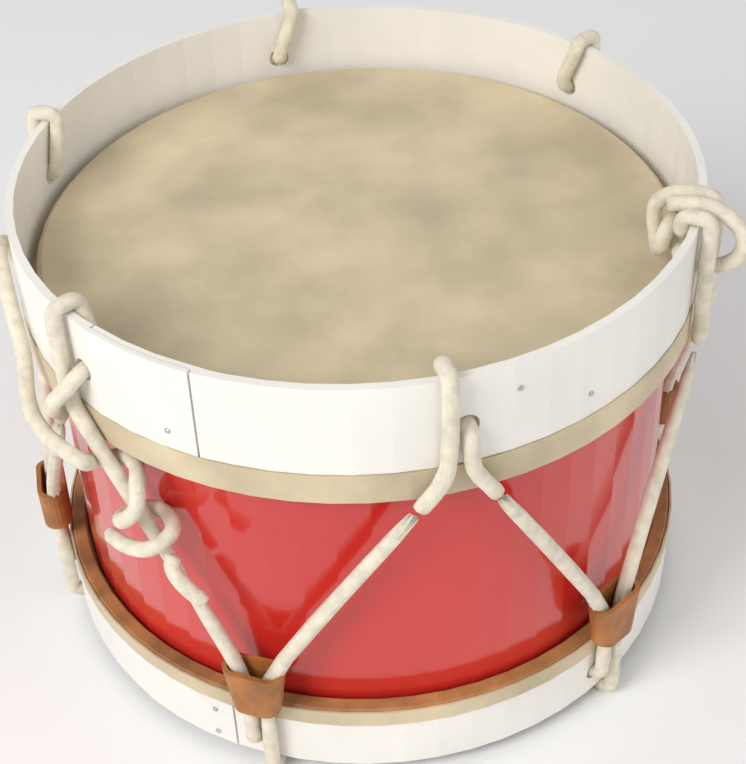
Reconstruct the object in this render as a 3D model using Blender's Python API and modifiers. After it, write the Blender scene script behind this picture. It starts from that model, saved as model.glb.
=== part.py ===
"""Bombo: a small two-headed drum laced with rope and tightened by six sliding leather ears.

Metres, +Z up, the front towards -Y. Angles are degrees round the drum's axis, 0 along +X and
growing towards +Y. The drum stands on the six rope turns under its lower counterhoop.
"""
import math

import bmesh
import bpy
from mathutils import Matrix, Vector

# Driving dimensions of the wooden parts
HOOP_RADIUS = 0.127
HOOP_THICKNESS = 0.003
HOOP_SPAN = 0.1858
TOP_HOOP_HEIGHT = 0.0357
LOW_HOOP_HEIGHT = 0.0229
LAP_ANGLES = (-134.3, -115.8)
LAP_LAYER = 0.0018
LAP_CRACK_DEG = 0.35
LAP_FADE_DEG = 3.0
SHELL_RADIUS = 0.119
SHELL_WALL = 0.0035
SHELL_EDGE_ROUND = 0.0015
VENT_RADIUS = 0.0024
VENT_ANGLE = -126.7
VENT_HEIGHT = 0.1150
STIFFENER_WALL = 0.005
STIFFENER_HEIGHT = 0.018
STIFFENER_INSET = 0.002
FLESH_WIDTH = 0.0062
FLESH_CLEARANCE = 0.0012
FLESH_TOP_HEIGHT = 0.0112
FLESH_LOW_HEIGHT = 0.0064
FLESH_ROUND = 0.0008

# Driving dimensions of the skins, the rope and the ears
SKIN = 0.0008
SKIRT_TUCK = 0.0004
TOP_HEAD_RISE = 0.0104
LOW_HEAD_RISE = 0.0066
CORD_RADIUS = 0.00315
CORD_FLAT = 0.00063
CORD_SPACING = 0.0069
LACE_HOLE_RADIUS = 0.0042
TOP_HOLE_DROP = 0.0200
LOW_HOLE_RISE = 0.0105
EAR_HEIGHT = 0.0205
EAR_BASE = 0.0395
EAR_LEATHER = 0.0018
EAR_MOUTH = 0.0204
EAR_FOOT = 0.0146
EAR_CLEARANCE = 0.0007
EAR_ANGLES = (-110.0, -47.0, 13.0, 73.0, 133.0, 190.0)
EAR_LIFTS = (0.0, 0.0, 0.0, 0.0, 0.0, 0.005)
CROWN_ANGLES = (-77.0, -17.5, 42.2, 102.7, 161.7, 221.2)
TACK_HEAD_RADIUS = 0.0011
TACK_HEAD_HEIGHT = 0.0006
TACK_SHANK_RADIUS = 0.0005
TOP_TACKS = ((-120.6, 0.0282), (-67.3, 0.0106), (-54.4, 0.0263))
LOW_TACKS = ((-119.4, 0.0040), (-119.4, 0.0170))
GAP = 0.0003

# Counts of facets
RING_STEPS = 60
HOLE_STEPS = 16
EAR_STEPS = 20
CORD_ROUNDNESS = 2

# Places worked out from the sizes above
HOOP_MIDDLE = HOOP_RADIUS - HOOP_THICKNESS / 2
HOOP_BORE = HOOP_RADIUS - HOOP_THICKNESS
LOW_EDGE = 2 * CORD_RADIUS - CORD_FLAT + GAP
RIM = LOW_EDGE + HOOP_SPAN
TOP_HOOP_BASE = RIM - TOP_HOOP_HEIGHT
LOW_HOOP_TOP = LOW_EDGE + LOW_HOOP_HEIGHT
TOP_LAP = TOP_HOOP_BASE - GAP
LOW_LAP = LOW_HOOP_TOP + GAP
TOP_FLESH = TOP_LAP - SKIN - GAP
LOW_FLESH = LOW_LAP + SKIN + GAP
FLESH_BORE = SHELL_RADIUS + FLESH_CLEARANCE
FLESH_RADIUS = FLESH_BORE + FLESH_WIDTH
SKIRT_RADIUS = FLESH_RADIUS + GAP + SKIN
TOP_HEAD = TOP_LAP + TOP_HEAD_RISE
LOW_HEAD = LOW_LAP - LOW_HEAD_RISE
SHELL_TOP = TOP_HEAD - SKIN - GAP
SHELL_BASE = LOW_HEAD + SKIN + GAP
SHELL_BORE = SHELL_RADIUS - SHELL_WALL
SKIRT_BASE = TOP_FLESH - FLESH_TOP_HEIGHT + SKIRT_TUCK
LACE_RADIUS = SKIRT_RADIUS + CORD_RADIUS + GAP
INNER_LACE = HOOP_BORE - CORD_RADIUS - GAP
LACE_OUT = LACE_RADIUS - HOOP_MIDDLE
LACE_IN = HOOP_MIDDLE - INNER_LACE
TURN_REACH = CORD_RADIUS + GAP
LEG_STEP = math.degrees(CORD_SPACING / 2 / LACE_RADIUS)
MOUTH_STEP = math.degrees((EAR_MOUTH / 2 - CORD_RADIUS - 2 * EAR_CLEARANCE) / LACE_RADIUS)
LEG_END = SKIRT_BASE - 0.002
TOP_HOLES = RIM - TOP_HOLE_DROP
LOW_HOLES = LOW_EDGE + LOW_HOLE_RISE
OVER_LACE = LACE_RADIUS + CORD_SPACING


for old in list(bpy.data.objects):
    bpy.data.objects.remove(old, do_unlink=True)

PARTS = bpy.data.collections.new("bombo")
CUTTERS = bpy.data.collections.new("bombo_cutters")
bpy.context.scene.collection.children.link(PARTS)
bpy.context.scene.collection.children.link(CUTTERS)


def material(name, colour, roughness, metallic=0.0):
    made = bpy.data.materials.new(name)
    made.use_nodes = True
    shader = made.node_tree.nodes["Principled BSDF"]
    shader.inputs["Base Color"].default_value = (*colour, 1.0)
    shader.inputs["Roughness"].default_value = roughness
    shader.inputs["Metallic"].default_value = metallic
    return made


RED_PAINT = material("red_paint", (0.55, 0.03, 0.025), 0.16)
BARE_WOOD = material("bare_wood", (0.45, 0.22, 0.08), 0.65)
WHITE_BOARD = material("white_board", (0.88, 0.85, 0.80), 0.45)
SKIN_HIDE = material("skin_hide", (0.62, 0.52, 0.35), 0.60)
COTTON = material("cotton_rope", (0.85, 0.78, 0.62), 0.90)
LEATHER = material("leather", (0.42, 0.17, 0.04), 0.55)
STEEL = material("steel", (0.55, 0.55, 0.55), 0.35, 1.0)


def polar(angle, radius, height):
    turn = math.radians(angle)
    return Vector((radius * math.cos(turn), radius * math.sin(turn), height))


def add_object(name, data, finish, collection=PARTS):
    made = bpy.data.objects.new(name, data)
    collection.objects.link(made)
    if finish:
        data.materials.append(finish)
    return made


def as_cutter(cutter):
    for home in list(cutter.users_collection):
        home.objects.unlink(cutter)
    CUTTERS.objects.link(cutter)
    cutter.hide_render = True
    cutter.display_type = "WIRE"
    return cutter


def subtract(target, cutter):
    cut = target.modifiers.new("cut_" + cutter.name, "BOOLEAN")
    cut.operation = "DIFFERENCE"
    cut.solver = "EXACT"
    cut.object = cutter


def round_shading(made, degrees=35):
    made.data.shade_smooth()
    made.data.set_sharp_from_angle(angle=math.radians(degrees))


def turned(name, profile, finish, closed):
    """A profile of (radius, height) points turned about the drum's axis."""
    mesh = bpy.data.meshes.new(name)
    edges = [(i, i + 1) for i in range(len(profile) - 1)]
    if closed:
        edges.append((len(profile) - 1, 0))
    mesh.from_pydata([(r, 0.0, z) for r, z in profile], edges, [])
    made = add_object(name, mesh, finish)
    screw = made.modifiers.new("turn", "SCREW")
    screw.axis = "Z"
    screw.angle = math.tau
    screw.steps = RING_STEPS
    screw.render_steps = RING_STEPS
    screw.use_merge_vertices = True
    screw.merge_threshold = 0.00001
    screw.use_smooth_shade = True
    return made


def as_mesh(source):
    """The evaluated mesh of a curve object, with its loose caps welded, under the same name."""
    depsgraph = bpy.context.evaluated_depsgraph_get()
    name = source.name
    mesh = bpy.data.meshes.new_from_object(source.evaluated_get(depsgraph))
    place = source.matrix_world.copy()
    home = source.users_collection[0]
    bpy.data.objects.remove(source, do_unlink=True)
    work = bmesh.new()
    work.from_mesh(mesh)
    bmesh.ops.remove_doubles(work, verts=work.verts, dist=0.00001)
    work.to_mesh(mesh)
    work.free()
    made = bpy.data.objects.new(name, mesh)
    made.matrix_world = place
    home.objects.link(made)
    return made


def rope(name, route):
    """A round cord along a list of points."""
    curve = bpy.data.curves.new(name, "CURVE")
    curve.dimensions = "3D"
    curve.bevel_depth = CORD_RADIUS
    curve.bevel_resolution = CORD_ROUNDNESS
    curve.use_fill_caps = True
    line = curve.splines.new("POLY")
    line.points.add(len(route) - 1)
    for point, place in zip(line.points, route):
        point.co = (*place, 1.0)
    line.use_smooth = True
    return add_object(name, curve, COTTON)


def smooth_route(points, pieces=3):
    """Points read from a smooth curve through the chosen ones."""
    ends = [2 * points[0] - points[1]] + list(points) + [2 * points[-1] - points[-2]]
    route = []
    for before, start, stop, after in zip(ends, ends[1:], ends[2:], ends[3:]):
        for step in range(pieces):
            t = step / pieces
            route.append(0.5 * (2 * start + (stop - before) * t
                                + (2 * before - 5 * start + 4 * stop - after) * t ** 2
                                + (3 * start - before - 3 * stop + after) * t ** 3))
    return route + [points[-1]]


def least_self_gap(name, route):
    """Prints how near a rope's surface comes to itself, away from its own neighbourhood."""
    reach = [0.0]
    for first, second in zip(route, route[1:]):
        reach.append(reach[-1] + (second - first).length)
    least = min((a - b).length - 2 * CORD_RADIUS
                for i, a in enumerate(route) for j, b in enumerate(route)
                if reach[j] - reach[i] > 4.5 * CORD_RADIUS)
    print(f"{name}: least gap to itself {least * 1000:.2f} mm")


def power(value, exponent=0.75):
    return math.copysign(abs(value) ** exponent, value)


def edge_turn(first_angle, last_angle, edge, side):
    """The rope's way over a hoop's edge, from outside to inside; side is +1 over, -1 under."""
    route = []
    for step in range(7):
        turn = math.pi * step / 6
        sweep = LACE_OUT if turn <= math.pi / 2 else LACE_IN
        angle = first_angle + (last_angle - first_angle) * step / 6
        route.append(polar(angle, HOOP_MIDDLE + sweep * power(math.cos(turn)),
                           edge + side * TURN_REACH * power(math.sin(turn))))
    return route


def hole_turn(angle, height, side):
    """The rope's way through a hoop's hole, from inside to outside; side is the way it bends."""
    reach = 1.6 * CORD_RADIUS
    inner, outer = [], []
    for step in range(4):
        turn = math.pi / 2 * step / 3
        lift = reach * (1 - power(math.sin(turn)))
        inner.append(polar(angle, HOOP_MIDDLE - LACE_IN * power(math.cos(turn)), height + side * lift))
        outer.append(polar(angle, HOOP_MIDDLE + LACE_OUT * power(math.cos(turn)), height - side * lift))
    return inner + outer[-2::-1]


def drill(target, angle, height, radius, steps=HOLE_STEPS):
    """A round hole through the wall at this angle and height."""
    bpy.ops.mesh.primitive_cylinder_add(vertices=steps, radius=radius, depth=4 * HOOP_THICKNESS + SHELL_WALL)
    cutter = bpy.context.object
    cutter.name = f"hole_{target.name}_{len(target.modifiers)}"
    cutter.matrix_world = (Matrix.Rotation(math.radians(angle), 4, "Z")
                           @ Matrix.Translation((HOOP_MIDDLE, 0.0, height))
                           @ Matrix.Rotation(math.radians(90), 4, "Y"))
    subtract(target, as_cutter(cutter))


# The shell with its stiffening rings
def shell():
    low, high, edge = SHELL_BASE, SHELL_TOP, SHELL_EDGE_ROUND
    profile = [(SHELL_RADIUS - edge, high), (SHELL_RADIUS, high - edge), (SHELL_RADIUS, low + edge),
               (SHELL_RADIUS - edge, low), (SHELL_BORE, low), (SHELL_BORE, high)]
    made = turned("shell", profile, RED_PAINT, closed=True)
    bpy.ops.mesh.primitive_cylinder_add(vertices=HOLE_STEPS, radius=VENT_RADIUS, depth=6 * SHELL_WALL)
    vent = bpy.context.object
    vent.name = "vent_cutter"
    vent.matrix_world = (Matrix.Rotation(math.radians(VENT_ANGLE), 4, "Z")
                         @ Matrix.Translation((SHELL_RADIUS, 0.0, VENT_HEIGHT))
                         @ Matrix.Rotation(math.radians(90), 4, "Y"))
    subtract(made, as_cutter(vent))


def stiffener(name, base):
    outer = SHELL_BORE - GAP
    inner = outer - STIFFENER_WALL
    top = base + STIFFENER_HEIGHT
    turned(name, [(outer, top), (outer, base), (inner, base), (inner, top)], BARE_WOOD, closed=True)


# The heads: a skin over the shell's edge, out over the flesh hoop and down its outer side
def head(name, face, lap, skirt_end, side):
    """side is +1 for the top head and -1 for the bottom one, which is its mirror image."""
    shell_edge = face - side * (SKIN + GAP)
    near, far = GAP, GAP + SKIN
    corner = math.sqrt(2) - 1
    skirt = FLESH_RADIUS + GAP

    def layer(offset, lap_height, skirt_radius):
        fold = SHELL_RADIUS - SHELL_EDGE_ROUND + corner * offset
        drop = SHELL_EDGE_ROUND - corner * offset
        return [(0.0, shell_edge + side * offset), (fold, shell_edge + side * offset),
                (SHELL_RADIUS + offset, shell_edge - side * drop),
                (SHELL_RADIUS + offset, lap_height), (skirt_radius, lap_height), (skirt_radius, skirt_end)]

    outside = layer(far, lap, skirt + SKIN)
    inside = layer(near, lap - side * SKIN, skirt)
    profile = outside + inside[::-1]
    turned(name, profile if side > 0 else profile[::-1], SKIN_HIDE, closed=False)


def flesh_hoop(name, base, height):
    low, high, r = base, base + height, FLESH_ROUND
    inner, outer = FLESH_BORE, FLESH_RADIUS
    profile = [(outer - r, high), (outer, high - r), (outer, low + r), (outer - r, low),
               (inner + r, low), (inner, low + r), (inner, high - r), (inner + r, high)]
    turned(name, profile, BARE_WOOD, closed=True)


# The counterhoops: one strip bent round, its inner end lapped by its outer end
def lap_radii(angle):
    """Inner and outer radius of the strip at an angle counted from the lap's inner end."""
    start, stop = LAP_ANGLES
    lap_in = HOOP_MIDDLE - GAP / 2
    lap_out = HOOP_MIDDLE + GAP / 2
    past = angle - (stop + LAP_CRACK_DEG)
    left = start - LAP_CRACK_DEG + 360 - angle
    if past < 0:
        return lap_in - LAP_LAYER, lap_in
    if left < 0:
        return lap_out, lap_out + LAP_LAYER
    swell = (LAP_LAYER + GAP / 2 - HOOP_THICKNESS / 2) * max(0.0, 1 - min(past, left) / LAP_FADE_DEG)
    if past < left:
        return HOOP_BORE - swell, HOOP_RADIUS + swell * 0.6
    return HOOP_BORE - swell * 0.6, HOOP_RADIUS + swell


def counterhoop(name, base, height):
    start, stop = LAP_ANGLES
    step = 360 / RING_STEPS
    tiny = 0.001
    stations = [start, stop + LAP_CRACK_DEG - tiny, stop + LAP_CRACK_DEG, stop + LAP_FADE_DEG,
                start - LAP_FADE_DEG + 360, start - LAP_CRACK_DEG + 360,
                start - LAP_CRACK_DEG + 360 + tiny, stop + 360]
    evenly = [start + step * n for n in range(1, int((stop + 360 - start) / step) + 1)]
    stations += [a for a in evenly if min(abs(a - s) for s in stations) > step / 3]
    stations.sort()
    outer = [polar(a, lap_radii(a)[1], 0.0) for a in stations]
    inner = [polar(a, lap_radii(a)[0], 0.0) for a in reversed(stations)]
    curve = bpy.data.curves.new(name, "CURVE")
    curve.dimensions = "2D"
    curve.fill_mode = "BOTH"
    curve.extrude = height / 2
    line = curve.splines.new("POLY")
    line.points.add(len(outer + inner) - 1)
    for point, place in zip(line.points, outer + inner):
        point.co = (*place, 1.0)
    line.use_cyclic_u = True
    flat = add_object(name, curve, WHITE_BOARD)
    flat.location.z = base + height / 2
    bpy.context.view_layer.update()
    made = as_mesh(flat)
    round_shading(made)
    return made


def tacks(name, hoop, places, edge, direction):
    """Small nails through a hoop: a domed head outside and a shank clear of its drilled hole."""
    for number, (angle, drop) in enumerate(places, 1):
        work = bmesh.new()
        height = edge + direction * drop
        _, outer = lap_radii(angle if angle > LAP_ANGLES[1] else angle + 360)
        if LAP_ANGLES[0] < angle < LAP_ANGLES[1]:
            outer = HOOP_MIDDLE + GAP / 2 + LAP_LAYER
        place = (Matrix.Rotation(math.radians(angle), 4, "Z")
                 @ Matrix.Translation((outer, 0.0, height)) @ Matrix.Rotation(math.radians(90), 4, "Y"))
        profile = [(0.0, TACK_HEAD_HEIGHT), (TACK_HEAD_RADIUS * 0.7, TACK_HEAD_HEIGHT * 0.75),
                   (TACK_HEAD_RADIUS, GAP / 3), (TACK_SHANK_RADIUS, GAP / 3),
                   (TACK_SHANK_RADIUS, -HOOP_THICKNESS)]
        rings = []
        for radius, reach in profile:
            turns = [math.tau * n / 8 for n in range(8)] if radius else [0.0]
            rings.append([work.verts.new(place @ Vector((radius * math.cos(t), radius * math.sin(t), reach)))
                          for t in turns])
        for first, second in zip(rings, rings[1:]):
            for n in range(8):
                m = (n + 1) % 8
                if len(first) == 1:
                    work.faces.new((first[0], second[n], second[m]))
                else:
                    work.faces.new((first[n], second[n], second[m], first[m]))
        work.faces.new(rings[-1][::-1])
        drill(hoop, angle, height, TACK_SHANK_RADIUS + GAP, 8)
        mesh = bpy.data.meshes.new(f"{name}_{number}")
        work.to_mesh(mesh)
        work.free()
        round_shading(add_object(mesh.name, mesh, STEEL))


# The leather ears: sleeves of stadium section, wider at the mouth, that slide up the rope's V
def ear(number, angle, lift):
    """The ear's origin is on its slide axis, at its foot; its X is round the drum."""
    depth = 2 * (CORD_RADIUS + EAR_CLEARANCE)
    work = bmesh.new()
    bmesh.ops.create_cone(work, cap_ends=False, segments=EAR_STEPS, radius1=depth / 2,
                          radius2=depth / 2, depth=EAR_HEIGHT)
    for vert in work.verts:
        width = EAR_MOUTH if vert.co.z > 0 else EAR_FOOT
        vert.co.x += math.copysign((width - depth) / 2, vert.co.x)
        vert.co.z += EAR_HEIGHT / 2
    mesh = bpy.data.meshes.new(f"ear_{number}")
    work.to_mesh(mesh)
    work.free()
    made = add_object(mesh.name, mesh, LEATHER)
    made.location = polar(angle, LACE_RADIUS, EAR_BASE + lift)
    made.rotation_euler.z = math.radians(angle + 90)
    thick = made.modifiers.new("leather", "SOLIDIFY")
    thick.thickness = EAR_LEATHER
    thick.offset = 1.0
    thick.use_even_offset = True
    round_shading(made, 50)


# The rope, cut where the ears reshape it: a crown at each top hole, two strands at each ear, and
# a foot under each ear
def mouth_point(ear_index, side):
    lift = EAR_LIFTS[ear_index]
    return polar(EAR_ANGLES[ear_index] + side * MOUTH_STEP, LACE_RADIUS,
                 EAR_BASE + lift + EAR_HEIGHT - CORD_RADIUS / 3)


def leg_place(crown_index, towards):
    """Where a crown's leg hands over to a strand, below the flesh hoop; towards is -1 or +1."""
    angle = CROWN_ANGLES[crown_index]
    leg = angle + towards * LEG_STEP
    goal = EAR_ANGLES[(crown_index + 1) % 6] if towards > 0 else EAR_ANGLES[crown_index]
    goal += 360 * round((angle + towards * 30 - goal) / 360)
    share = (TOP_HOOP_BASE - LEG_END) / (TOP_HOOP_BASE - EAR_BASE - EAR_HEIGHT)
    return polar(leg + (goal - leg) * share, LACE_RADIUS, LEG_END)


def leg_tail(crown_index, towards):
    """The last points of a crown's leg, in line with the strand that follows it."""
    ear_index = (crown_index + 1) % 6 if towards > 0 else crown_index
    end = leg_place(crown_index, towards)
    along = (mouth_point(ear_index, -towards) - end).normalized()
    return [end - along * 2.2 * CORD_RADIUS, end]


def crown(index):
    angle = CROWN_ANGLES[index]
    rim_leg, hole_leg = angle - LEG_STEP, angle + LEG_STEP
    route = leg_tail(index, -1)[::-1]
    route += [polar(rim_leg, LACE_RADIUS, TOP_HOOP_BASE), polar(rim_leg, LACE_RADIUS, RIM - 2 * CORD_RADIUS)]
    route += edge_turn(rim_leg, rim_leg, RIM, 1)
    route += hole_turn(hole_leg, TOP_HOLES, 1)
    route += [polar(hole_leg, LACE_RADIUS, TOP_HOOP_BASE)] + leg_tail(index, 1)
    rope(f"lace_crown_{index + 1}", route)


def strand(ear_index, side, end, along):
    """From the ear's foot through its mouth and straight to the place where the rope goes on."""
    angle, base = EAR_ANGLES[ear_index], EAR_BASE + EAR_LIFTS[ear_index]
    mouth = mouth_point(ear_index, side)
    foot = polar(angle + side * LEG_STEP, LACE_RADIUS, base + CORD_RADIUS / 2 + GAP)
    knee = polar(angle + side * LEG_STEP, LACE_RADIUS, base + 1.2 * CORD_RADIUS)
    rope(f"lace_strand_{ear_index + 1}_{'left' if side < 0 else 'right'}",
         [foot, knee, mouth, end + along * GAP])


def foot(ear_index):
    """Down the lower hoop, under its edge, up inside, out through the hole and up again."""
    angle, base = EAR_ANGLES[ear_index], EAR_BASE + EAR_LIFTS[ear_index]
    edge_leg, hole_leg = angle + LEG_STEP, angle - LEG_STEP
    top = base + CORD_RADIUS / 2
    route = [polar(edge_leg, LACE_RADIUS, top), polar(edge_leg, LACE_RADIUS, LOW_EDGE + 2 * CORD_RADIUS)]
    route += edge_turn(edge_leg, edge_leg, LOW_EDGE, -1)
    route += hole_turn(hole_leg, LOW_HOLES, -1)
    route += [polar(hole_leg, LACE_RADIUS, top)]
    made = as_mesh(rope(f"lace_foot_{ear_index + 1}", route))
    bpy.ops.mesh.primitive_cube_add(size=12 * CORD_RADIUS)
    ground = bpy.context.object
    ground.name = f"ground_{ear_index + 1}"
    ground.location = polar(angle, HOOP_MIDDLE, 0.0) - Vector((0, 0, 6 * CORD_RADIUS))
    subtract(made, as_cutter(ground))
    round_shading(made)


# The rim knot at the right: the rope coils inside the rim, leaves by the hole and loops back over it
RIM_KNOT_COIL = dict(across=-0.0004, down=0.0124, radius=0.0054, turns=1.5, innermost=0.0163)


def rim_knot(index):
    """Points are (round the drum, out from the hoop's middle, up from the rim) in metres."""
    angle = CROWN_ANGLES[index]

    def place(across, out, up):
        return polar(angle + math.degrees(across / HOOP_MIDDLE), HOOP_MIDDLE + out, RIM + up)

    coil = RIM_KNOT_COIL
    turns = []
    count = int(8 * coil["turns"])
    for step in range(1, count + 1):
        turn = math.radians(40) - math.tau * step / 8
        depth = coil["innermost"] + (LACE_IN + 0.0003 - coil["innermost"]) * step / count
        turns.append(place(coil["across"] + coil["radius"] * math.cos(turn), -depth,
                           -coil["down"] + coil["radius"] * math.sin(turn)))
    side = CORD_SPACING / 2
    over = [place(side, 0.0052, -0.0010), place(side, 0.0036, 0.0028), place(side, 0.0, 0.0039),
            place(side, -0.0050, 0.0036), place(side + 0.0002, -0.0108, 0.0026),
            place(side + 0.0018, -0.0162, -0.0033)]
    through = [place(-0.0042, -0.0048, -0.0185), place(-side, -0.0016, TOP_HOLES - RIM),
               place(-side, 0.0018, TOP_HOLES - RIM)]
    bulge = [place(-0.0036, 0.0080, -0.0206), place(-0.0030, 0.0142, -0.0170), place(-0.0026, 0.0166, -0.0105),
             place(-0.0026, 0.0138, -0.0036), place(-0.0030, 0.0084, 0.0012), place(-0.0036, 0.0020, 0.0040),
             place(-0.0040, -0.0050, 0.0040), place(-0.0045, -0.0115, 0.0030)]
    tail = leg_tail(index, 1)[::-1]
    first = tail + [place(side, LACE_OUT, TOP_HOOP_BASE - RIM), place(side, LACE_OUT, -0.0160)] + over + turns
    route = smooth_route(first + through + bulge, 2)
    least_self_gap("rim knot", route)
    rope(f"lace_crown_{index + 1}_knot", route)

    far = -1.5 * CORD_SPACING - 0.0004
    leg = leg_tail(index, -1)[::-1]
    leg += [place(far, LACE_OUT, TOP_HOOP_BASE - RIM), place(far, LACE_OUT, -2 * CORD_RADIUS)]
    leg += edge_turn(angle + math.degrees(far / HOOP_MIDDLE), angle + math.degrees(far / HOOP_MIDDLE), RIM, 1)
    leg += [place(far, -LACE_IN, -0.0045)]
    rope(f"lace_crown_{index + 1}_leg", leg)


# The tie on the front-left strand: the rope's spare end comes round the hoop and is knotted there
TIE_END = 0.0905


def tie_axis():
    """The line from the last crown to the first ear that the knot is tied on."""
    start = leg_place(5, 1)
    return start, (mouth_point(0, -1) - start).normalized()


def tied_crown(index):
    """The crown whose legs cross: the hole's leg passes over to the left, the other runs on."""
    angle = CROWN_ANGLES[index]
    rim_leg, hole_leg = angle - LEG_STEP, angle + LEG_STEP
    start, along = tie_axis()
    end = start + along * ((start.z - TIE_END) / -along.z)
    route = [end, start, polar(rim_leg + 0.4, LACE_RADIUS, TOP_HOOP_BASE - 0.001),
             polar(rim_leg, LACE_RADIUS, TOP_HOLES), polar(rim_leg, LACE_RADIUS, RIM - 2 * CORD_RADIUS)]
    route += edge_turn(rim_leg, rim_leg, RIM, 1)
    route += hole_turn(hole_leg, TOP_HOLES, 1)[:-2]
    cross = [polar(hole_leg - 0.3, LACE_RADIUS + 0.0030, TOP_HOLES - 0.0040),
             polar(hole_leg - 1.8, OVER_LACE + 0.0004, TOP_HOLES - 0.0098),
             polar(hole_leg - 3.9, OVER_LACE - 0.0010, TOP_HOLES - 0.0165),
             polar(hole_leg - 5.6, LACE_RADIUS + 0.0022, TOP_HOLES - 0.0225)]
    route += smooth_route(cross, 2) + leg_tail(index, -1)
    rope(f"lace_crown_{index + 1}", route)
    return end, along


def spare_end(index):
    """From behind the strand at the last crown but one, round the hoop and into the knot."""
    behind = leg_place(index - 1, 1)
    tuck = math.degrees(math.atan2(behind.y, behind.x)) % 360
    hoop_side = [polar(tuck - 1.5, 0.1237, 0.1370), polar(tuck + 2.0, 0.1239, 0.1368),
                 polar(tuck + 5.2, 0.1285, 0.1390), polar(tuck + 8.0, 0.1318, 0.1480),
                 polar(tuck + 12.0, 0.1316, 0.1620), polar(184.5, 0.1314, 0.1725), polar(190.0, 0.1314, 0.1778),
                 polar(195.0, 0.1314, 0.1765), polar(200.0, 0.1316, 0.1660), polar(206.0, 0.1328, 0.1550),
                 polar(212.0, 0.1386, 0.1482), polar(218.0, 0.1404, 0.1440)]
    start, along = tie_axis()
    out = Vector((start.x, start.y, 0.0)).normalized()
    across = along.cross(out).normalized()
    ring = CORD_SPACING + 0.0006

    def place(down, right, outward):
        return start + along * down + across * right * ring + out * outward * ring

    knot = [place(-0.0020, 0.05, 1.10), place(0.0020, 1.02, 0.25), place(0.0050, 0.45, -0.88),
            place(0.0082, -0.75, -0.72), place(0.0120, -1.55, 0.20), place(0.0190, -1.45, 0.75),
            place(0.0230, -0.30, 1.12), place(0.0245, 0.85, 0.62), place(0.0262, 0.80, -0.62),
            place(0.0300, -0.35, -0.94), place(0.0345, -1.20, -0.25), place(0.0362, -0.75, 0.85),
            place(0.0350, 0.35, 1.16), place(0.0330, 1.50, 1.05), place(0.0318, 2.60, 0.75)]
    route = smooth_route(hoop_side + knot, 2)
    least_self_gap("spare end", route)
    rope("lace_spare_end", route)
    tail = [place(0.0400, -1.70, 0.55), place(0.0440, -1.55, 0.95), place(0.0520, -1.75, 0.95),
            place(0.0600, -2.20, 0.75)]
    rope("lace_tail", smooth_route(tail, 2))


# The whole drum
def build():
    shell()
    stiffener("stiffener_top", SHELL_TOP - STIFFENER_INSET - STIFFENER_HEIGHT)
    stiffener("stiffener_bottom", SHELL_BASE + STIFFENER_INSET)
    head("head_top", TOP_HEAD, TOP_LAP, SKIRT_BASE, 1)
    head("head_bottom", LOW_HEAD, LOW_LAP, LOW_FLESH + FLESH_LOW_HEIGHT - SKIRT_TUCK, -1)
    flesh_hoop("flesh_hoop_top", TOP_FLESH - FLESH_TOP_HEIGHT, FLESH_TOP_HEIGHT)
    flesh_hoop("flesh_hoop_bottom", LOW_FLESH, FLESH_LOW_HEIGHT)
    top = counterhoop("counterhoop_top", TOP_HOOP_BASE, TOP_HOOP_HEIGHT)
    low = counterhoop("counterhoop_bottom", LOW_EDGE, LOW_HOOP_HEIGHT)
    for angle in CROWN_ANGLES:
        drill(top, angle + LEG_STEP * (1 if angle != CROWN_ANGLES[1] else -1), TOP_HOLES, LACE_HOLE_RADIUS)
    for angle in EAR_ANGLES:
        drill(low, angle - LEG_STEP, LOW_HOLES, LACE_HOLE_RADIUS)
    tacks("tack_top", top, TOP_TACKS, RIM, -1)
    tacks("tack_bottom", low, LOW_TACKS, LOW_EDGE, 1)
    for number, (angle, lift) in enumerate(zip(EAR_ANGLES, EAR_LIFTS), 1):
        ear(number, angle, lift)
        foot(number - 1)
    for index in (0, 2, 3, 4):
        crown(index)
    rim_knot(1)
    tie_end, tie_along = tied_crown(5)
    spare_end(5)
    for index in range(6):
        before = (index - 1) % 6
        for side, crown_index in ((-1, before), (1, index)):
            end = leg_place(crown_index, -side)
            along = (mouth_point(index, side) - end).normalized()
            if (index, side) == (0, -1):
                end, along = tie_end, tie_along
            strand(index, side, end, along)


def centre_on_origin():
    """Stands the whole drum so that its bounding box is centred over the origin."""
    bpy.context.view_layer.update()
    depsgraph = bpy.context.evaluated_depsgraph_get()
    low, high = Vector((1e9, 1e9, 1e9)), Vector((-1e9, -1e9, -1e9))
    for made in PARTS.objects:
        seen = made.evaluated_get(depsgraph)
        for corner in seen.bound_box:
            place = made.matrix_world @ Vector(corner)
            low = Vector(map(min, low, place))
            high = Vector(map(max, high, place))
    axis = bpy.data.objects.new("drum_axis", None)
    bpy.context.scene.collection.objects.link(axis)
    for made in list(PARTS.objects) + list(CUTTERS.objects):
        made.parent = axis
    axis.location = Vector((-(low.x + high.x) / 2, -(low.y + high.y) / 2, 0.0))
    print(f"drum axis at x {axis.location.x * 1000:.3f} mm, y {axis.location.y * 1000:.3f} mm")


build()
centre_on_origin()
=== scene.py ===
import math

import bmesh
import bpy
from mathutils import Matrix, Vector


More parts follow.
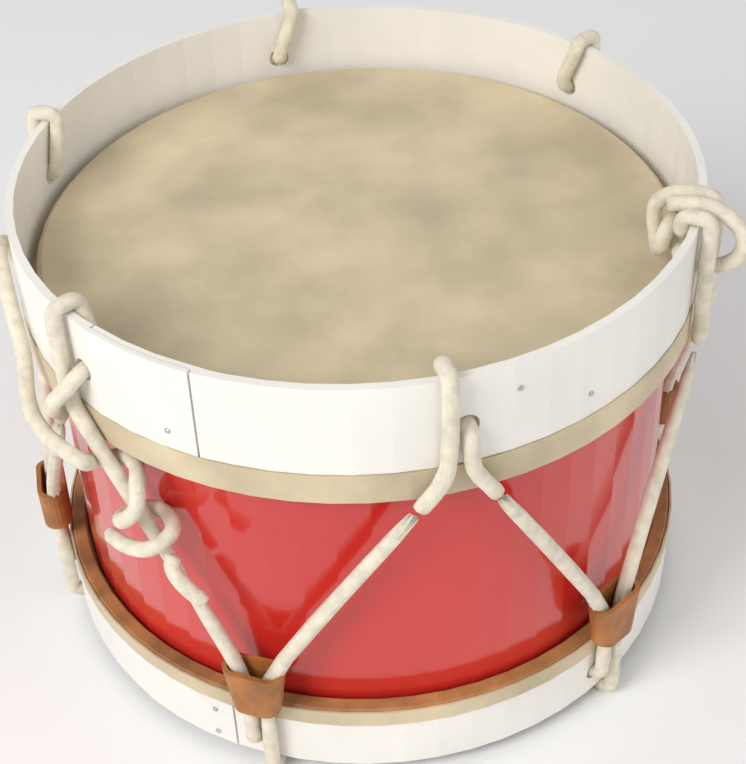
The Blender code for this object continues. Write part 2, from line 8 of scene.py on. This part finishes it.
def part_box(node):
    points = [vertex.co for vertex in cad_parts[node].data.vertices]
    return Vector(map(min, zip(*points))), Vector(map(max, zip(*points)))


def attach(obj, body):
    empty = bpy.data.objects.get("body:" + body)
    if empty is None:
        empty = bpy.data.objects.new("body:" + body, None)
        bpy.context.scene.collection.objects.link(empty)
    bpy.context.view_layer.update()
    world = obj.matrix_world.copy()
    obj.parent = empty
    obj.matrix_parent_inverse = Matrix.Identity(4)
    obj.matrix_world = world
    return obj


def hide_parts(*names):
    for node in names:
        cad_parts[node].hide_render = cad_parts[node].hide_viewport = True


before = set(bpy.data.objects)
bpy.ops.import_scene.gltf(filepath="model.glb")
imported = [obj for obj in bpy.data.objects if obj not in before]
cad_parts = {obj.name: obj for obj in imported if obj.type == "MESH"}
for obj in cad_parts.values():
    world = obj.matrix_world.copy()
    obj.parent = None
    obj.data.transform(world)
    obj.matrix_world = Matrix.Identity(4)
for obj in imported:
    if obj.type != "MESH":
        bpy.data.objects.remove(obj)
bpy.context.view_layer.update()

bl_info = {
    "name": "Laced Bombo Drum",
    "version": (1, 0, 0),
    "blender": (4, 5, 0),
    "location": "3D View > Sidebar > Drum",
    "description": "Finishes a small rope-laced drum with leather tension ears",
    "category": "Add Mesh",
}

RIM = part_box("counterhoop_top")[1].z
DRUM_AXIS = (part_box("shell")[0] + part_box("shell")[1]) / 2
LACE_NODES = sorted(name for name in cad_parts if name.startswith("lace_"))
EAR_NODES = sorted(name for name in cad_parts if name.startswith("ear_"))

# The photograph's view, from a fit of the hoops' edges
VIEW_DISTANCE = 0.6013
VIEW_ELEVATION = math.radians(32.394)
VIEW_ROLL = math.radians(2.626)
VIEW_YAW = math.radians(0.286)
VIEW_PITCH = math.radians(-7.578)
VIEW_LENS = 78.64
SENSOR_WIDTH = 36.0
NEAREST_SEEN = 0.01

# The stage, in metres and watts
FLOOR_SIZE = 8.0
FLOOR_DROP = 0.0004
FLOOR_COLOUR = (0.9, 0.9, 0.9, 1.0)
FLOOR_ROUGHNESS = 0.9
SKY_STRENGTH = 0.55
LAMPS = {
    "key": {"place": (-0.9, -0.9, 1.1), "size": 0.7, "power": 16.0},
    "fill": {"place": (1.2, -0.7, 0.9), "size": 1.2, "power": 5.0},
}

# Each finish: roughness, scale of its patches, how far their colour strays, and depth of its relief
FINISHES = {
    "gloss_paint": {"roughness": 0.16, "grain": 9.0, "spread": 0.12, "bump": 0.03, "coat": 0.5},
    "bare_wood": {"roughness": 0.6, "grain": 60.0, "spread": 0.45, "bump": 0.3},
    "white_board": {"roughness": 0.42, "grain": 25.0, "spread": 0.06, "bump": 0.15},
    "tack_steel": {"roughness": 0.35, "grain": 300.0, "spread": 0.2, "bump": 0.1, "metallic": 1.0},
    "raw_hide": {"roughness": 0.55, "grain": 28.0, "spread": 0.22, "bump": 0.2},
    "ear_leather": {"roughness": 0.5, "grain": 90.0, "spread": 0.35, "bump": 0.35},
    "cotton_rope": {"roughness": 0.9, "grain": 220.0, "spread": 0.16, "bump": 0.8},
}
STEEL_COLOUR = (0.55, 0.55, 0.55)
PATCH_DETAIL = 8.0
PATCH_EDGES = (0.3, 0.7)
PALE_SHARE = 0.6
FINE_GRAIN = 12
RELIEF_DEPTH = 0.0006
WELD = 0.00001


class DrumFinish(bpy.types.PropertyGroup):
    """The colours that a user would change"""
    paint_colour: bpy.props.FloatVectorProperty(
        name="Paint", description="Colour of the shell's gloss paint", subtype="COLOR",
        size=3, default=(0.60, 0.025, 0.018))
    board_colour: bpy.props.FloatVectorProperty(
        name="Board", description="Colour of the counterhoops", subtype="COLOR",
        size=3, default=(0.86, 0.83, 0.77))
    hide_colour: bpy.props.FloatVectorProperty(
        name="Hide", description="Colour of the two skins", subtype="COLOR",
        size=3, default=(0.64, 0.53, 0.35))
    rope_colour: bpy.props.FloatVectorProperty(
        name="Rope", description="Colour of the cotton lacing", subtype="COLOR",
        size=3, default=(0.84, 0.77, 0.62))
    leather_colour: bpy.props.FloatVectorProperty(
        name="Leather", description="Colour of the tension ears", subtype="COLOR",
        size=3, default=(0.40, 0.15, 0.035))
    wood_colour: bpy.props.FloatVectorProperty(
        name="Wood", description="Colour of the bare flesh hoops", subtype="COLOR",
        size=3, default=(0.42, 0.20, 0.07))


def mottled(name, colour):
    """A surface whose colour and height vary with two noises on Object coordinates."""
    finish = FINISHES[name]
    made = bpy.data.materials.new(name)
    made.use_nodes = True
    nodes, links = made.node_tree.nodes, made.node_tree.links
    shader = nodes["Principled BSDF"]
    shader.inputs["Roughness"].default_value = finish["roughness"]
    shader.inputs["Metallic"].default_value = finish.get("metallic", 0.0)
    shader.inputs["Coat Weight"].default_value = finish.get("coat", 0.0)
    place = nodes.new("ShaderNodeTexCoord")
    noise = nodes.new("ShaderNodeTexNoise")
    noise.inputs["Scale"].default_value = finish["grain"]
    noise.inputs["Detail"].default_value = PATCH_DETAIL
    darker = [c * (1 - finish["spread"]) for c in colour]
    paler = [min(1.0, c * (1 + finish["spread"] * PALE_SHARE)) for c in colour]
    ramp = nodes.new("ShaderNodeValToRGB")
    for stop, edge, tone in zip(ramp.color_ramp.elements, PATCH_EDGES, (darker, paler)):
        stop.position = edge
        stop.color = (*tone, 1.0)
    fine = nodes.new("ShaderNodeTexNoise")
    fine.inputs["Scale"].default_value = finish["grain"] * FINE_GRAIN
    relief = nodes.new("ShaderNodeBump")
    relief.inputs["Strength"].default_value = finish["bump"]
    relief.inputs["Distance"].default_value = RELIEF_DEPTH
    links.new(place.outputs["Object"], noise.inputs["Vector"])
    links.new(place.outputs["Object"], fine.inputs["Vector"])
    links.new(noise.outputs["Fac"], ramp.inputs["Fac"])
    links.new(ramp.outputs["Color"], shader.inputs["Base Color"])
    links.new(fine.outputs["Fac"], relief.inputs["Height"])
    links.new(relief.outputs["Normal"], shader.inputs["Normal"])
    return made


def dress(names, finish):
    """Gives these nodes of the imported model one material."""
    for name in names:
        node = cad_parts[name]
        node.data.materials.clear()
        node.data.materials.append(finish)


def deselect():
    """Leaves nothing selected for the next operator to act on."""
    bpy.ops.object.select_all(action="DESELECT")


class DRUM_OT_shell(bpy.types.Operator):
    """Gives the shell its gloss paint and the stiffening rings their bare wood"""
    bl_idname = "drum.shell"
    bl_label = "Finish Shell"

    def execute(self, context):
        look = context.scene.drum_finish
        dress(["shell"], mottled("gloss_paint", look.paint_colour))
        wooden = ["stiffener_top", "stiffener_bottom", "flesh_hoop_top", "flesh_hoop_bottom"]
        dress(wooden, mottled("bare_wood", look.wood_colour))
        return {"FINISHED"}


class DRUM_OT_hoops(bpy.types.Operator):
    """Gives the counterhoops and their tacks their finish"""
    bl_idname = "drum.hoops"
    bl_label = "Finish Hoops"

    def execute(self, context):
        look = context.scene.drum_finish
        dress(["counterhoop_top", "counterhoop_bottom"], mottled("white_board", look.board_colour))
        tacks = [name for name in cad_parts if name.startswith("tack_")]
        dress(tacks, mottled("tack_steel", STEEL_COLOUR))
        return {"FINISHED"}


class DRUM_OT_skins(bpy.types.Operator):
    """Gives the two skins their mottled hide"""
    bl_idname = "drum.skins"
    bl_label = "Finish Skins"

    def execute(self, context):
        look = context.scene.drum_finish
        dress(["head_top", "head_bottom"], mottled("raw_hide", look.hide_colour))
        return {"FINISHED"}


class DRUM_OT_ears(bpy.types.Operator):
    """Gives the sliding ears their leather"""
    bl_idname = "drum.ears"
    bl_label = "Finish Ears"

    def execute(self, context):
        look = context.scene.drum_finish
        dress(EAR_NODES, mottled("ear_leather", look.leather_colour))
        return {"FINISHED"}


class DRUM_OT_lacing(bpy.types.Operator):
    """Makes each stretch of the lacing a smooth round rope in place of its faceted solid"""
    bl_idname = "drum.lacing"
    bl_label = "Make Lacing"

    def execute(self, context):
        look = context.scene.drum_finish
        cotton = mottled("cotton_rope", look.rope_colour)
        for name in LACE_NODES:
            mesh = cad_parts[name].data.copy()
            work = bmesh.new()
            work.from_mesh(mesh)
            bmesh.ops.remove_doubles(work, verts=work.verts, dist=WELD)
            work.to_mesh(mesh)
            work.free()
            mesh.materials.clear()
            mesh.materials.append(cotton)
            piece = bpy.data.objects.new("rope_" + name, mesh)
            context.scene.collection.objects.link(piece)
            deselect()
            piece.select_set(True)
            context.view_layer.objects.active = piece
            soft = piece.modifiers.new("soft", "SUBSURF")
            soft.levels = 1
            soft.render_levels = 1
            bpy.ops.object.modifier_apply(modifier="soft")
            bpy.ops.object.shade_smooth()
            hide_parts(name)
            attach(piece, "drum")
        return {"FINISHED"}


class DRUM_OT_stage(bpy.types.Operator):
    """Adds the pale floor, the lights and the camera"""
    bl_idname = "drum.stage"
    bl_label = "Set Stage"

    def execute(self, context):
        deselect()
        bpy.ops.mesh.primitive_plane_add(size=FLOOR_SIZE, location=(0.0, 0.0, -FLOOR_DROP))
        floor = context.object
        floor.name = "floor"
        white = bpy.data.materials.new("floor_white")
        white.use_nodes = True
        shader = white.node_tree.nodes["Principled BSDF"]
        shader.inputs["Base Color"].default_value = FLOOR_COLOUR
        shader.inputs["Roughness"].default_value = FLOOR_ROUGHNESS
        floor.data.materials.append(white)
        for name, lamp in LAMPS.items():
            self.light(name, **lamp)
        world = bpy.data.worlds.new("studio")
        world.use_nodes = True
        sky = world.node_tree.nodes["Background"]
        sky.inputs["Color"].default_value = (1.0, 1.0, 1.0, 1.0)
        sky.inputs["Strength"].default_value = SKY_STRENGTH
        context.scene.world = world
        context.scene.view_settings.view_transform = "Standard"
        self.camera(context)
        return {"FINISHED"}

    def light(self, name, place, size, power):
        """A square lamp that faces the middle of the drum."""
        lamp = bpy.data.lights.new(name, "AREA")
        lamp.size = size
        lamp.energy = power
        holder = bpy.data.objects.new(name, lamp)
        holder.location = place
        aim = Vector((0.0, 0.0, RIM / 2)) - Vector(place)
        holder.rotation_euler = aim.to_track_quat("-Z", "Y").to_euler()
        bpy.context.scene.collection.objects.link(holder)

    def camera(self, context):
        """Places the camera from the rim's centre, then turns it off that centre as the photograph is."""
        eye = VIEW_DISTANCE * Vector((0.0, -math.cos(VIEW_ELEVATION), math.sin(VIEW_ELEVATION)))
        forward = -eye.normalized()
        right = Vector((1.0, 0.0, 0.0))
        looking = Matrix((right, right.cross(forward), forward))
        yaw = Matrix(((math.cos(VIEW_YAW), 0, -math.sin(VIEW_YAW)), (0, 1, 0),
                      (math.sin(VIEW_YAW), 0, math.cos(VIEW_YAW))))
        pitch = Matrix(((1, 0, 0), (0, math.cos(VIEW_PITCH), -math.sin(VIEW_PITCH)),
                        (0, math.sin(VIEW_PITCH), math.cos(VIEW_PITCH))))
        roll = Matrix(((math.cos(VIEW_ROLL), -math.sin(VIEW_ROLL), 0),
                       (math.sin(VIEW_ROLL), math.cos(VIEW_ROLL), 0), (0, 0, 1)))
        turned = roll @ pitch @ yaw @ looking
        lens = bpy.data.cameras.new("camera")
        lens.sensor_fit = "HORIZONTAL"
        lens.sensor_width = SENSOR_WIDTH
        lens.lens = VIEW_LENS
        lens.clip_start = NEAREST_SEEN
        holder = bpy.data.objects.new("camera", lens)
        axes = Matrix((turned[0], turned[1], -turned[2])).transposed().to_4x4()
        holder.matrix_world = Matrix.Translation(eye + Vector((DRUM_AXIS.x, DRUM_AXIS.y, RIM))) @ axes
        context.scene.collection.objects.link(holder)
        context.scene.camera = holder


STEPS = (DRUM_OT_stage, DRUM_OT_shell, DRUM_OT_hoops, DRUM_OT_skins, DRUM_OT_ears, DRUM_OT_lacing)


class DRUM_PT_panel(bpy.types.Panel):
    """Lists the drum's finishing steps"""
    bl_idname = "DRUM_PT_panel"
    bl_label = "Laced Drum"
    bl_space_type = "VIEW_3D"
    bl_region_type = "UI"
    bl_category = "Drum"

    def draw(self, context):
        """One button for each step."""
        for step in STEPS:
            self.layout.operator(step.bl_idname)


CLASSES = (DrumFinish, *STEPS, DRUM_PT_panel)


def register():
    """Makes the classes and the drum's colours known."""
    for made in CLASSES:
        bpy.utils.register_class(made)
    bpy.types.Scene.drum_finish = bpy.props.PointerProperty(type=DrumFinish)


def unregister():
    """Takes back what register did."""
    del bpy.types.Scene.drum_finish
    for made in reversed(CLASSES):
        bpy.utils.unregister_class(made)


def main():
    """Runs every step in order."""
    register()
    bpy.ops.drum.stage()
    bpy.ops.drum.shell()
    bpy.ops.drum.hoops()
    bpy.ops.drum.skins()
    bpy.ops.drum.ears()
    bpy.ops.drum.lacing()


if __name__ == "__main__":
    main()
